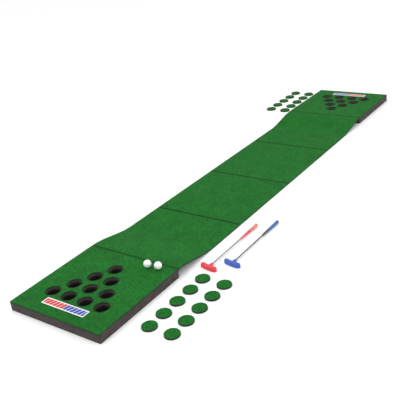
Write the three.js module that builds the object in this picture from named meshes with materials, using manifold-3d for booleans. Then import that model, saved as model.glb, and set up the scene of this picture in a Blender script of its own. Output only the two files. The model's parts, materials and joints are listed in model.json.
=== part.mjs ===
// Practice putting mat for two ends: a folding strip of turf with a hole board at each end,
// loose hole covers, two balls and two short two-way putters lying beside it.
//
// Millimetres, +Z up. The origin is at floor level under the middle seam of the mat.
// +X runs along the mat to the far board. The near half is the side of negative X.
// The far half is the near half turned half a turn about Z.

import * as THREE from "three";
import { mergeVertices } from "three/addons/utils/BufferGeometryUtils.js";
import Module from "manifold-3d";

const wasm = await Module();
wasm.setup();

// ---- Driving dimensions -------------------------------------------------------------------

// Mat
const MAT_WIDTH = 610;
const BOARD_LENGTH = 609;
const SECTION_LENGTH = 609; // a thin section laid flat
const SEAM = 1; // open slit between two sections
const LAYER_GAP = 0.3; // glue line between two layers
const TURF = 6;
const BACKING = 3;
const BASE_SHEET = 2;
const FOAM_CORE = 44;
const BOARD_CORNER_RADIUS = 6;

// The thin section next to a board hangs from the board's top edge down to the floor
const RAMP_RUN = 330;
const RAMP_STEPS = 14;
const BEND_GAP = 0.6; // slit where the hanging part meets the part that lies flat

// Hinge tape
const TAPE_HALF_WIDTH = 18;
const TAPE = 0.9;
const TAPE_REBATE = TAPE + LAYER_GAP;
const TAPE_SIDE_MARGIN = 4; // the tape stops short of the mat's sides

// Holes, in rows of four, three, two and one
const HOLE_DIAMETER = 76;
const HOLE_PITCH = 112;
const HOLE_ROWS = 4;
const FIRST_ROW_FROM_END = 171;

// Label
const LABEL_LENGTH = 285;
const LABEL_WIDTH = 50;
const LABEL = 0.4;
const LABEL_FROM_END = 90;
const LABEL_CORNER_RADIUS = 2;

// Hole covers, in two rows beside each board
const COVER_OVERLAP = 1.5; // how far a cover is wider than its hole, all round
const COVER_THICKNESS = 12;
const COVER_EDGE = 1;
const COVERS_IN_ROW = 5;
const COVER_ROW_SPACING = 132;
const NEAR_COVER_START = 201;
const NEAR_COVER_PITCH = 110;
const FAR_COVER_START = 14;
const FAR_COVER_PITCH = 117;
const FAR_COVER_SIDE_GAP = 80;

// Balls
const BALL_DIAMETER = 42.67;
const BALL_LANE_CLEARANCE = 21; // each side of a ball put down between the mat and the covers
const BALL_CLEARANCE = 0.3;
const BALLS = [
  { name: "ball_1", fromSeam: 58, y: -149 },
  { name: "ball_2", fromSeam: 48, y: -212 },
];

// Putters
const HEAD_LENGTH = 108;
const HEAD_HEIGHT = 25;
const HEAD_DEPTH = 22;
const HEAD_BOW = 6; // how far the ends curve up towards the shaft
const HEAD_BEVEL = 3;
const LIE_ANGLE = 80; // degrees between the shaft and the head's length
const NECK_LENGTH = 22;
const NECK_RADIUS = 9; // where the shaft goes in
const NECK_FOOT_RADIUS = 10.8; // where it grows out of the head
const SHAFT_RADIUS = 4.6;
const SHAFT_FIT = 0.35;
const SHAFT_SOCKET = 16;
const FERRULE_LENGTH = 9;
const FERRULE_RADIUS = 6.6;
const FERRULE_TIP_WALL = 0.8;
const GRIP_LENGTH = 172;
const GRIP_NECK_WALL = 1.05;
const GRIP_NECK_RADIUS = SHAFT_RADIUS + SHAFT_FIT + GRIP_NECK_WALL;
const GRIP_BUTT_RADIUS = 9.8;
const GRIP_LIP = 0.5; // chamfer at the grip's mouth
const GRIP_LIP_LENGTH = 4;
const GRIP_CAP = 5;
const GRIP_CAP_EDGE = 3; // chamfer round the cap's end
const GRIP_CAP_EDGE_LENGTH = 1.5;
const PUTTER_LENGTH = 520; // sole to the end of the grip
const PUTTERS = [ // the place of the head's middle, from the near end and the mat's -Y side
  { name: "red_putter", fromEnd: 736, fromSide: 96, head: 0xe8474f, shaft: 0xb9bcc2, grip: 0xe56a72 },
  { name: "blue_putter", fromEnd: 819, fromSide: 190, head: 0x3a66c0, shaft: 0x5a5e66, grip: 0x3457a3 },
];

// ---- Places worked out from them ----------------------------------------------------------

const SECTION = BACKING + LAYER_GAP + TURF;
const CORE_BOTTOM = BASE_SHEET + LAYER_GAP;
const CORE_TOP = CORE_BOTTOM + FOAM_CORE;
const BOARD_TURF_BOTTOM = CORE_TOP + LAYER_GAP;
const BOARD_HEIGHT = BOARD_TURF_BOTTOM + TURF;
const DROP = BOARD_HEIGHT - SECTION;
const RAMP_CHORD = Math.hypot(RAMP_RUN, DROP);
const RUN_LENGTH = SECTION_LENGTH - RAMP_CHORD - BEND_GAP;

// Each span is [start, end] along X, in the near half
const MIDDLE_SPAN = [-SEAM / 2 - SECTION_LENGTH, -SEAM / 2];
const RUN_END = MIDDLE_SPAN[0] - SEAM;
const RUN_SPAN = [RUN_END - RUN_LENGTH, RUN_END];
const RAMP_END = RUN_SPAN[0] - BEND_GAP;
const RAMP_SPAN = [RAMP_END - RAMP_RUN, RAMP_END];
const BOARD_END = RAMP_SPAN[0] - SEAM;
const BOARD_SPAN = [BOARD_END - BOARD_LENGTH, BOARD_END];
const MAT_END = BOARD_SPAN[0];
const COVER_DIAMETER = HOLE_DIAMETER + 2 * COVER_OVERLAP;
const BALL_LANE = BALL_DIAMETER + 2 * BALL_LANE_CLEARANCE;

// ---- Materials ----------------------------------------------------------------------------

function finish(color, roughness, metalness = 0) {
  return new THREE.MeshStandardMaterial({ color, roughness, metalness });
}

const turfGreen = () => finish(0x2f7a35, 0.95);
const darkBacking = () => finish(0x3a3436, 0.9);
const darkFoam = () => finish(0x4a4043, 0.9);
const baseBlack = () => finish(0x241f21, 0.8);
const hingeCloth = () => finish(0x1f2a20, 0.95);
const labelWhite = () => finish(0xf2f2f2, 0.45);
const ballWhite = () => finish(0xf6f6f4, 0.25);
const softBlack = () => finish(0x1c1c1e, 0.6);

// ---- Helpers ------------------------------------------------------------------------------

const mat = new THREE.Group();

function place(parent, name, geometry, material) {
  const mesh = new THREE.Mesh(geometry, material);
  mesh.name = name;
  parent.add(mesh);
  return mesh;
}

// A solid with the given side outline, [x, z] points, across the mat
function across(outline, width) {
  const shape = new THREE.Shape(outline.map(([x, z]) => new THREE.Vector2(x, z)));
  const solid = new THREE.ExtrudeGeometry(shape, { depth: width, bevelEnabled: false });
  solid.translate(0, 0, -width / 2);
  return solid.rotateX(Math.PI / 2);
}

function sheet([start, end], bottom, top, width) {
  return across([[start, bottom], [end, bottom], [end, top], [start, top]], width);
}

function roundedRectangle([x0, x1], width, radius) {
  const y = width / 2;
  const shape = new THREE.Shape();
  shape.moveTo(x0 + radius, -y);
  shape.lineTo(x1 - radius, -y);
  shape.absarc(x1 - radius, -y + radius, radius, -Math.PI / 2, 0);
  shape.lineTo(x1, y - radius);
  shape.absarc(x1 - radius, y - radius, radius, 0, Math.PI / 2);
  shape.lineTo(x0 + radius, y);
  shape.absarc(x0 + radius, y - radius, radius, Math.PI / 2, Math.PI);
  shape.lineTo(x0, -y + radius);
  shape.absarc(x0 + radius, -y + radius, radius, Math.PI, 1.5 * Math.PI);
  return shape;
}

function slab(shape, bottom, top, curveSegments = 6) {
  const solid = new THREE.ExtrudeGeometry(shape, {
    depth: top - bottom,
    bevelEnabled: false,
    curveSegments,
  });
  return solid.translate(0, 0, bottom);
}

function toManifold(geometry) {
  const bare = geometry.clone();
  bare.deleteAttribute("normal");
  bare.deleteAttribute("uv");
  const merged = mergeVertices(bare, 1e-4);
  return new wasm.Manifold(new wasm.Mesh({
    numProp: 3,
    vertProperties: new Float32Array(merged.attributes.position.array),
    triVerts: new Uint32Array(merged.index.array),
  }));
}

function toGeometry(solid) {
  const { vertProperties, triVerts } = solid.getMesh();
  const geometry = new THREE.BufferGeometry();
  geometry.setAttribute("position", new THREE.BufferAttribute(vertProperties, 3));
  geometry.setIndex(new THREE.BufferAttribute(triVerts, 1));
  geometry.computeVertexNormals();
  return geometry;
}

function cut(body, tool) {
  return toGeometry(toManifold(body).subtract(toManifold(tool)));
}

// ---- Hole boards --------------------------------------------------------------------------

function holeCentres() {
  const centres = [];
  const rowSpacing = HOLE_PITCH * Math.sin(Math.PI / 3);
  for (let row = 0; row < HOLE_ROWS; row += 1) {
    const count = HOLE_ROWS - row;
    for (let i = 0; i < count; i += 1) {
      const x = MAT_END + FIRST_ROW_FROM_END + row * rowSpacing;
      const y = (i - (count - 1) / 2) * HOLE_PITCH;
      centres.push([x, y]);
    }
  }
  return centres;
}

function boardShape(withHoles) {
  const shape = roundedRectangle(BOARD_SPAN, MAT_WIDTH, BOARD_CORNER_RADIUS);
  if (withHoles) {
    for (const [x, y] of holeCentres()) {
      const hole = new THREE.Path();
      hole.absarc(x, y, HOLE_DIAMETER / 2, 0, 2 * Math.PI, true);
      shape.holes.push(hole);
    }
  }
  return shape;
}

// A board is a base sheet, a foam core with the holes, and turf with the same holes.
// The hinge tape lies in a rebate along the core's inner edge, under the turf.
function board(half, side) {
  const segments = 12;
  place(half, `${side}_base_sheet`, slab(boardShape(false), 0, BASE_SHEET), baseBlack());

  const core = slab(boardShape(true), CORE_BOTTOM, CORE_TOP, segments);
  const rebate = new THREE.BoxGeometry(2 * TAPE_HALF_WIDTH, 2 * MAT_WIDTH, 2 * TAPE_REBATE);
  rebate.translate(BOARD_END, 0, CORE_TOP);
  place(half, `${side}_foam_core`, cut(core, rebate), darkFoam());

  const turf = slab(boardShape(true), BOARD_TURF_BOTTOM, BOARD_HEIGHT, segments);
  place(half, `${side}_board_turf`, turf, turfGreen());

  const tapeSpan = [BOARD_END - TAPE_HALF_WIDTH + LAYER_GAP, BOARD_END - LAYER_GAP];
  const tapeBottom = CORE_TOP - TAPE;
  const tapeWidth = MAT_WIDTH - 2 * BOARD_CORNER_RADIUS - 2 * TAPE_SIDE_MARGIN;
  place(half, `${side}_edge_tape`, sheet(tapeSpan, tapeBottom, CORE_TOP, tapeWidth), hingeCloth());

  const labelSpan = [
    MAT_END + LABEL_FROM_END - LABEL_WIDTH / 2,
    MAT_END + LABEL_FROM_END + LABEL_WIDTH / 2,
  ];
  const label = roundedRectangle(labelSpan, LABEL_LENGTH, LABEL_CORNER_RADIUS);
  const labelBottom = BOARD_HEIGHT + LAYER_GAP;
  place(half, `${side}_label`, slab(label, labelBottom, labelBottom + LABEL, 3), labelWhite());
}

// ---- Thin turf sections -------------------------------------------------------------------

// Height of the hanging part's underside, from the board's edge (0) to the floor (1)
function hangHeight(share) {
  return DROP * (1 - share * share * (3 - 2 * share));
}

function hangingLayer(bottom, top) {
  const lower = [];
  const upper = [];
  for (let i = 0; i <= RAMP_STEPS; i += 1) {
    const share = i / RAMP_STEPS;
    const x = RAMP_SPAN[0] + share * RAMP_RUN;
    lower.push([x, hangHeight(share) + bottom]);
    upper.unshift([x, hangHeight(share) + top]);
  }
  return across([...lower, ...upper], MAT_WIDTH);
}

function flatTurf(span) {
  return sheet(span, BACKING + LAYER_GAP, SECTION, MAT_WIDTH);
}

// A backing sheet with a rebate in its underside at either end for a hinge tape
function flatBacking([start, end], rebateAtStart, rebateAtEnd) {
  const outline = [];
  if (rebateAtStart) {
    outline.push([start, TAPE_REBATE], [start + TAPE_HALF_WIDTH, TAPE_REBATE]);
    outline.push([start + TAPE_HALF_WIDTH, 0]);
  } else {
    outline.push([start, 0]);
  }
  if (rebateAtEnd) {
    outline.push([end - TAPE_HALF_WIDTH, 0], [end - TAPE_HALF_WIDTH, TAPE_REBATE]);
    outline.push([end, TAPE_REBATE]);
  } else {
    outline.push([end, 0]);
  }
  outline.push([end, BACKING], [start, BACKING]);
  return across(outline, MAT_WIDTH);
}

function sections(half, side) {
  const rampTurf = hangingLayer(BACKING + LAYER_GAP, SECTION);
  place(half, `${side}_ramp_turf`, rampTurf, turfGreen());
  place(half, `${side}_ramp_backing`, hangingLayer(0, BACKING), darkBacking());

  place(half, `${side}_run_turf`, flatTurf(RUN_SPAN), turfGreen());
  place(half, `${side}_run_backing`, flatBacking(RUN_SPAN, false, true), darkBacking());

  place(half, `${side}_middle_turf`, flatTurf(MIDDLE_SPAN), turfGreen());
  place(half, `${side}_middle_backing`, flatBacking(MIDDLE_SPAN, true, true), darkBacking());
}

// The tape at each outer seam is glued in the rebate of one section and stops at the slit.
// The one under the middle seam reaches under both sections.
function seamTapes() {
  const width = MAT_WIDTH - 2 * TAPE_SIDE_MARGIN;
  const inRun = [RUN_END - TAPE_HALF_WIDTH + LAYER_GAP, RUN_END];
  place(mat, "near_seam_tape", sheet(inRun, 0, TAPE, width), hingeCloth());

  const farSeam = -MIDDLE_SPAN[0];
  const inMiddle = [farSeam - TAPE_HALF_WIDTH + LAYER_GAP, farSeam];
  place(mat, "far_seam_tape", sheet(inMiddle, 0, TAPE, width), hingeCloth());

  const reach = TAPE_HALF_WIDTH + SEAM / 2 - LAYER_GAP;
  place(mat, "centre_tape", sheet([-reach, reach], 0, TAPE, width), hingeCloth());
}

// ---- Hole covers --------------------------------------------------------------------------

function coverSolid() {
  const radius = COVER_DIAMETER / 2;
  const profile = [
    [0, 0],
    [radius, 0],
    [radius, COVER_THICKNESS - COVER_EDGE],
    [radius - COVER_EDGE, COVER_THICKNESS],
    [0, COVER_THICKNESS],
  ];
  const solid = new THREE.LatheGeometry(profile.map(([r, z]) => new THREE.Vector2(r, z)), 28);
  return solid.rotateX(Math.PI / 2);
}

// Two rows beside a board, on its half's own -Y side
function covers(half, side, start, pitch, firstRow) {
  for (let i = 0; i < 2 * COVERS_IN_ROW; i += 1) {
    const row = Math.floor(i / COVERS_IN_ROW);
    const cover = place(half, `${side}_cover_${i + 1}`, coverSolid(), turfGreen());
    cover.position.x = MAT_END + start + (i % COVERS_IN_ROW) * pitch;
    cover.position.y = -firstRow - row * COVER_ROW_SPACING;
  }
}

// ---- Balls --------------------------------------------------------------------------------

function balls() {
  for (const { name, fromSeam, y } of BALLS) {
    const solid = new THREE.SphereGeometry(BALL_DIAMETER / 2, 22, 14).rotateX(Math.PI / 2);
    const ball = place(mat, name, solid, ballWhite());
    ball.position.set(BOARD_END - fromSeam, y, BOARD_HEIGHT + BALL_CLEARANCE + BALL_DIAMETER / 2);
  }
}

// ---- Putters ------------------------------------------------------------------------------

// A ring or rod along +X from an [x, radius] outline that closes on itself
function turned(outline, segments = 16) {
  const profile = outline.map(([x, radius]) => new THREE.Vector2(radius, x));
  const solid = new THREE.LatheGeometry(profile, segments);
  return solid.rotateZ(-Math.PI / 2);
}

// The head's length is along Y and its neck points along +X
function headOutline() {
  const half = HEAD_LENGTH / 2;
  const round = HEAD_HEIGHT / 2;
  const steps = 10;
  const bow = (y) => HEAD_BOW * (y / half) ** 2;
  const shape = new THREE.Shape();
  const reach = half - round;
  for (let i = 0; i <= steps; i += 1) {
    const y = -reach + (2 * reach * i) / steps;
    const x = round + bow(y);
    if (i === 0) {
      shape.moveTo(x, y);
    } else {
      shape.lineTo(x, y);
    }
  }
  roundEnd(shape, bow(reach), reach, round, 0);
  for (let i = 0; i <= steps; i += 1) {
    const y = reach - (2 * reach * i) / steps;
    shape.lineTo(-round + bow(y), y);
  }
  roundEnd(shape, bow(reach), -reach, round, Math.PI);
  return shape;
}

function roundEnd(shape, x, y, radius, from) {
  const steps = 6;
  for (let i = 1; i < steps; i += 1) {
    const angle = from + (Math.PI * i) / steps;
    shape.lineTo(x + radius * Math.cos(angle), y + radius * Math.sin(angle));
  }
}

function headSolid() {
  const bar = new THREE.ExtrudeGeometry(headOutline(), {
    depth: HEAD_DEPTH - 2 * HEAD_BEVEL,
    bevelThickness: HEAD_BEVEL,
    bevelSize: HEAD_BEVEL,
    bevelOffset: -HEAD_BEVEL,
    bevelSegments: 2,
  });
  bar.translate(0, 0, HEAD_BEVEL - HEAD_DEPTH / 2);
  bar.rotateZ(((LIE_ANGLE - 90) * Math.PI) / 180);
  const neckEnd = HEAD_HEIGHT / 2 + NECK_LENGTH;
  const neck = turned([
    [0, 0],
    [0, NECK_FOOT_RADIUS],
    [HEAD_HEIGHT / 2, NECK_FOOT_RADIUS],
    [HEAD_HEIGHT / 2 + NECK_LENGTH / 2, NECK_RADIUS],
    [neckEnd, NECK_RADIUS],
    [neckEnd, 0],
  ]);
  const socketRadius = SHAFT_RADIUS + SHAFT_FIT;
  const socket = turned([
    [neckEnd - SHAFT_SOCKET, 0],
    [neckEnd - SHAFT_SOCKET, socketRadius],
    [neckEnd + SHAFT_SOCKET, socketRadius],
    [neckEnd + SHAFT_SOCKET, 0],
  ]);
  return toGeometry(toManifold(bar).add(toManifold(neck)).subtract(toManifold(socket)));
}

// A putter lies on its face. Its own X runs up the shaft, from the middle of the head.
function putter({ name, fromEnd, fromSide, head, shaft, grip }) {
  const group = new THREE.Group();
  const restHeight = Math.max(HEAD_DEPTH / 2, GRIP_BUTT_RADIUS);
  group.position.set(MAT_END + fromEnd, -MAT_WIDTH / 2 - fromSide, restHeight);
  mat.add(group);

  const neckEnd = HEAD_HEIGHT / 2 + NECK_LENGTH;
  const butt = PUTTER_LENGTH - HEAD_HEIGHT / 2;
  const capStart = butt - GRIP_CAP;
  const gripEnd = capStart - LAYER_GAP;
  const gripStart = gripEnd - GRIP_LENGTH;
  const bore = SHAFT_RADIUS + SHAFT_FIT;

  place(group, `${name}_head`, headSolid(), finish(head, 0.45));

  const shaftSolid = turned([
    [neckEnd - SHAFT_SOCKET + SHAFT_FIT, 0],
    [neckEnd - SHAFT_SOCKET + SHAFT_FIT, SHAFT_RADIUS],
    [gripEnd, SHAFT_RADIUS],
    [gripEnd, 0],
  ]);
  place(group, `${name}_shaft`, shaftSolid, finish(shaft, 0.25, 1));

  const ferruleStart = neckEnd + LAYER_GAP;
  const ferruleSolid = turned([
    [ferruleStart, bore],
    [ferruleStart, FERRULE_RADIUS],
    [ferruleStart + FERRULE_LENGTH, bore + FERRULE_TIP_WALL],
    [ferruleStart + FERRULE_LENGTH, bore],
    [ferruleStart, bore],
  ]);
  place(group, `${name}_ferrule`, ferruleSolid, softBlack());

  const gripSolid = turned([
    [gripStart, bore],
    [gripStart, GRIP_NECK_RADIUS - GRIP_LIP],
    [gripStart + GRIP_LIP_LENGTH, GRIP_NECK_RADIUS],
    [gripEnd, GRIP_BUTT_RADIUS],
    [gripEnd, bore],
    [gripStart, bore],
  ], 20);
  place(group, `${name}_grip`, gripSolid, finish(grip, 0.7));

  const capSolid = turned([
    [capStart, 0],
    [capStart, GRIP_BUTT_RADIUS],
    [butt - GRIP_CAP_EDGE_LENGTH, GRIP_BUTT_RADIUS],
    [butt, GRIP_BUTT_RADIUS - GRIP_CAP_EDGE],
    [butt, 0],
  ], 20);
  place(group, `${name}_grip_cap`, capSolid, softBlack());
}

// ---- Assembly -----------------------------------------------------------------------------

const nearHalf = new THREE.Group();
mat.add(nearHalf);
board(nearHalf, "near");
sections(nearHalf, "near");
covers(nearHalf, "near", NEAR_COVER_START, NEAR_COVER_PITCH,
  MAT_WIDTH / 2 + BALL_LANE + COVER_DIAMETER / 2);

const farHalf = new THREE.Group();
farHalf.rotation.z = Math.PI;
mat.add(farHalf);
board(farHalf, "far");
sections(farHalf, "far");
covers(farHalf, "far", FAR_COVER_START, FAR_COVER_PITCH,
  MAT_WIDTH / 2 + FAR_COVER_SIDE_GAP + COVER_DIAMETER / 2);

seamTapes();
balls();
PUTTERS.forEach(putter);

export default mat;
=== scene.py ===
import bpy
import bmesh
import json
import math
import numpy as np
from mathutils import Matrix, Vector

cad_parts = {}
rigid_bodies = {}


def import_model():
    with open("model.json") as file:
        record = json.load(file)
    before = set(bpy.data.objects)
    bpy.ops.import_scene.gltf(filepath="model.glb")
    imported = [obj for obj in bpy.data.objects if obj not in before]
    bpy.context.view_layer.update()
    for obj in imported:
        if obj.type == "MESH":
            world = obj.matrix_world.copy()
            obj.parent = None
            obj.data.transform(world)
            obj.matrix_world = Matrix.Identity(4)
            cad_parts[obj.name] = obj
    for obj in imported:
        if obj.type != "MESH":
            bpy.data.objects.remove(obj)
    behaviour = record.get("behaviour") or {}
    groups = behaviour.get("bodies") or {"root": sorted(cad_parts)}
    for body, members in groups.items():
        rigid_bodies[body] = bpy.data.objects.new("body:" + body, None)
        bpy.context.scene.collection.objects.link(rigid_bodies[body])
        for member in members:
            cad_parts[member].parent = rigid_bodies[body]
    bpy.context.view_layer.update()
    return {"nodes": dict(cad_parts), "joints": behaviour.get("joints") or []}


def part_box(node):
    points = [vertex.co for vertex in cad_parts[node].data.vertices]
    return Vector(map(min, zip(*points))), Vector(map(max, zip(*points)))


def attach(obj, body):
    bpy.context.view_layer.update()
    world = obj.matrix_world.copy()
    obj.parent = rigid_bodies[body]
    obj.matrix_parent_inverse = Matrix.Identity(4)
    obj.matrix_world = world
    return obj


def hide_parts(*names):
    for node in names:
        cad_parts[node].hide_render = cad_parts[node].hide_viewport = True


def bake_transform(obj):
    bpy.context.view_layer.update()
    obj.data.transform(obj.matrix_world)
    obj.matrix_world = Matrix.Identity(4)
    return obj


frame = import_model()

# ---- Base sheets --------------------------------------------------------------------------
# A thin black polypropylene sheet is glued under each board and closes the holes. It is
# extruded between embossed rollers, so it has a fine pebble grain and a low satin gloss.

MM = 0.001
SIDES = ("near", "far")


def linear(code):
    """An sRGB hex colour as linear red, green, blue and alpha."""
    parts = [int(code[i:i + 2], 16) / 255 for i in (0, 2, 4)]
    return [p / 12.92 if p <= 0.04045 else ((p + 0.055) / 1.055) ** 2.4 for p in parts] + [1]


def add(tree, kind, inputs=None, **settings):
    """Adds a node with its settings, and sets or links its inputs by name or number."""
    node = tree.nodes.new(kind)
    for name, value in settings.items():
        setattr(node, name, value)
    for key, value in (inputs or {}).items():
        if isinstance(value, bpy.types.NodeSocket):
            tree.links.new(value, node.inputs[key])
        else:
            node.inputs[key].default_value = value
    return node


def new_finish(name, colour, roughness, **sockets):
    """A material with one Principled shader: its tree, its shader and itself."""
    material = bpy.data.materials.new(name)
    material.use_nodes = True
    tree = material.node_tree
    shader = tree.nodes["Principled BSDF"]
    shader.inputs["Base Color"].default_value = linear(colour)
    shader.inputs["Roughness"].default_value = roughness
    for socket, value in sockets.items():
        shader.inputs[socket.replace("_", " ")].default_value = value
    material.diffuse_color = linear(colour)
    return material, tree, shader


def object_noise(tree, size_mm, detail=2.0, roughness=0.5):
    """Noise on object coordinates whose lumps are about size_mm across, from 0 to 1."""
    place = add(tree, "ShaderNodeTexCoord").outputs["Object"]
    return add(tree, "ShaderNodeTexNoise", {
        "Vector": place, "Scale": 1 / (size_mm * MM), "Detail": detail, "Roughness": roughness,
    }).outputs["Fac"]


def colour_ramp(tree, factor, *stops):
    """A colour ramp through stops of place and sRGB colour."""
    ramp = add(tree, "ShaderNodeValToRGB", {"Fac": factor})
    elements = ramp.color_ramp.elements
    elements.remove(elements[1])
    elements[0].position, elements[0].color = stops[0][0], linear(stops[0][1])
    for place, code in stops[1:]:
        elements.new(place).color = linear(code)
    return ramp.outputs["Color"]


def two_colours(tree, factor, low, high, between=(0.35, 0.65)):
    """One sRGB colour to another over part of the factor's range."""
    return colour_ramp(tree, factor, (between[0], low), (between[1], high))


def bumpy(tree, shader, height, depth_mm, strength=1.0):
    """Raises the shader's normal by a height field that is depth_mm deep."""
    bump = add(tree, "ShaderNodeBump", {
        "Height": height, "Distance": depth_mm * MM, "Strength": strength,
    })
    tree.links.new(bump.outputs["Normal"], shader.inputs["Normal"])


def sheet_polypropylene():
    """Extruded polypropylene: low satin, with a pebble grain and cloudy greys from the rollers."""
    material, tree, shader = new_finish("embossed_polypropylene", "262122", 0.6, IOR=1.49)
    grain = object_noise(tree, 1.6, 3)
    tree.links.new(two_colours(tree, object_noise(tree, 24), "211c1e", "2c2628"),
                   shader.inputs["Base Color"])
    bumpy(tree, shader, grain, 0.25)
    return material


def dress(obj, *materials):
    """Gives an object these materials in place of the ones it has."""
    obj.data.materials.clear()
    for material in materials:
        obj.data.materials.append(material)


base_finish = sheet_polypropylene()
for side in SIDES:
    dress(frame["nodes"][f"{side}_base_sheet"], base_finish)

# ---- Foam cores ---------------------------------------------------------------------------
# Each board is a thick slab of dark closed-cell foam, laminated from two sheets, with ten
# holes die-cut through it. The cut sides are matt and show the open cells as small pits.

HOLE_ROWS = 4
CIRCLE_POINTS = 72
HALF_TURN = {"near": Matrix.Identity(4), "far": Matrix.Rotation(math.pi, 4, "Z")}

core_low, core_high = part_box("near_foam_core")
turf_low, turf_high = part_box("near_board_turf")
board_width = turf_high.y - turf_low.y

HOLE_RADIUS = 38 * MM
HOLE_PITCH = 112 * MM
FIRST_ROW = 171 * MM  # from the board's outer edge
CORNER_RADIUS = 6 * MM
CORE_ROUNDING = 0.8 * MM
TAPE_ROOM = 1.3 * MM  # the core stays this far below the turf, where the hinge tape is glued
CELL_SIZE = 2.2 * MM  # coarser than real closed cells, so that they show
GLUE_LINE = 0.6 * MM  # half the thickness of the line between the two sheets


def hole_centres():
    """Centres of the near board's holes, in rows of four, three, two and one."""
    centres = []
    for row in range(HOLE_ROWS):
        count = HOLE_ROWS - row
        x = turf_low.x + FIRST_ROW + row * HOLE_PITCH * math.sin(math.pi / 3)
        centres += [(x, (i - (count - 1) / 2) * HOLE_PITCH) for i in range(count)]
    return centres


def ring(centre, radius, points=CIRCLE_POINTS):
    """Points of a circle, anticlockwise."""
    angles = [2 * math.pi * i / points for i in range(points)]
    return [(centre[0] + radius * math.cos(a), centre[1] + radius * math.sin(a)) for a in angles]


def rounded_outline(low, high, radius, steps=6):
    """Corner points of a rectangle with rounded corners, anticlockwise."""
    corners = [(high.x, low.y, -90), (high.x, high.y, 0), (low.x, high.y, 90), (low.x, low.y, 180)]
    points = []
    for x, y, start in corners:
        cx = x - math.copysign(radius, x - (low.x + high.x) / 2)
        cy = y - math.copysign(radius, y - (low.y + high.y) / 2)
        for i in range(steps + 1):
            angle = math.radians(start + 90 * i / steps)
            points.append((cx + radius * math.cos(angle), cy + radius * math.sin(angle)))
    return points


def result_of(obj):
    """A new mesh of what an object's curve or modifiers make."""
    bpy.context.view_layer.update()
    seen = obj.evaluated_get(bpy.context.evaluated_depsgraph_get())
    return bpy.data.meshes.new_from_object(seen)


def plate(name, outlines, bottom, top, rounding):
    """A closed plate between two heights from an outer outline and its holes, with soft edges."""
    curve = bpy.data.curves.new(name, "CURVE")
    curve.dimensions = "2D"
    curve.fill_mode = "BOTH"
    curve.extrude = (top - bottom) / 2 - rounding
    curve.bevel_depth = rounding
    curve.bevel_resolution = 2
    curve.offset = -rounding
    for points in outlines:
        spline = curve.splines.new("POLY")
        spline.points.add(len(points) - 1)
        for spot, (x, y) in zip(spline.points, points):
            spot.co = (x, y, 0, 1)
        spline.use_cyclic_u = True
    holder = bpy.data.objects.new(name, curve)
    bpy.context.scene.collection.objects.link(holder)
    mesh = result_of(holder)
    bpy.data.objects.remove(holder)
    mesh.transform(Matrix.Translation((0, 0, (top + bottom) / 2)))
    tidy_mesh(mesh)
    return mesh


def tidy_mesh(mesh, merge=1e-6, smooth_angle=40):
    """Merges doubles, turns faces outwards and shades curved stretches smooth."""
    work = bmesh.new()
    work.from_mesh(mesh)
    bmesh.ops.remove_doubles(work, verts=work.verts, dist=merge)
    bmesh.ops.recalc_face_normals(work, faces=work.faces)
    work.to_mesh(mesh)
    work.free()
    mesh.shade_smooth()
    mesh.set_sharp_from_angle(angle=math.radians(smooth_angle))


def new_piece(name, mesh, *materials):
    """Puts a mesh into the scene as a piece, in these materials or in the ones it has."""
    mesh.name = name
    piece = bpy.data.objects.new(name, mesh)
    bpy.context.scene.collection.objects.link(piece)
    if materials:
        dress(piece, *materials)
    return piece


def maths(tree, operation, *values):
    """The result of one maths node on numbers or sockets."""
    return add(tree, "ShaderNodeMath", dict(enumerate(values)), operation=operation).outputs[0]


def times(tree, colour, factor):
    """A colour darkened or lightened by a factor."""
    return add(tree, "ShaderNodeMix", {0: 1.0, 6: colour, 7: factor},
               data_type="RGBA", blend_type="MULTIPLY").outputs[2]


def from_hole(tree):
    """Distance to the nearest hole's axis on either board, or over a metre outside the holes."""
    axes = add(tree, "ShaderNodeSeparateXYZ", {
        0: add(tree, "ShaderNodeTexCoord").outputs["Object"]})
    row = HOLE_PITCH * math.sin(math.pi / 3)
    inward = maths(tree, "MULTIPLY_ADD", maths(tree, "ABSOLUTE", axes.outputs["X"]), -1.0,
                   -turf_low.x - FIRST_ROW)
    spans = []
    for shift, offset in ((0.0, HOLE_PITCH / 2), (row, 0.0)):
        along = maths(tree, "PINGPONG", maths(tree, "ADD", inward, shift), row)
        across = maths(tree, "PINGPONG", maths(tree, "ADD", axes.outputs["Y"], offset),
                       HOLE_PITCH / 2)
        spans.append(maths(tree, "SQRT", maths(
            tree, "MULTIPLY_ADD", along, along, maths(tree, "MULTIPLY", across, across))))
    reach = maths(tree, "MULTIPLY_ADD", inward, 0.5 / row, maths(
        tree, "DIVIDE", maths(tree, "ABSOLUTE", axes.outputs["Y"]), HOLE_PITCH))
    outside = maths(tree, "MAXIMUM", maths(tree, "GREATER_THAN", reach, HOLE_ROWS / 2),
                    maths(tree, "LESS_THAN", inward, -row / 2))
    return maths(tree, "ADD", maths(tree, "MINIMUM", *spans), outside)


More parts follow.
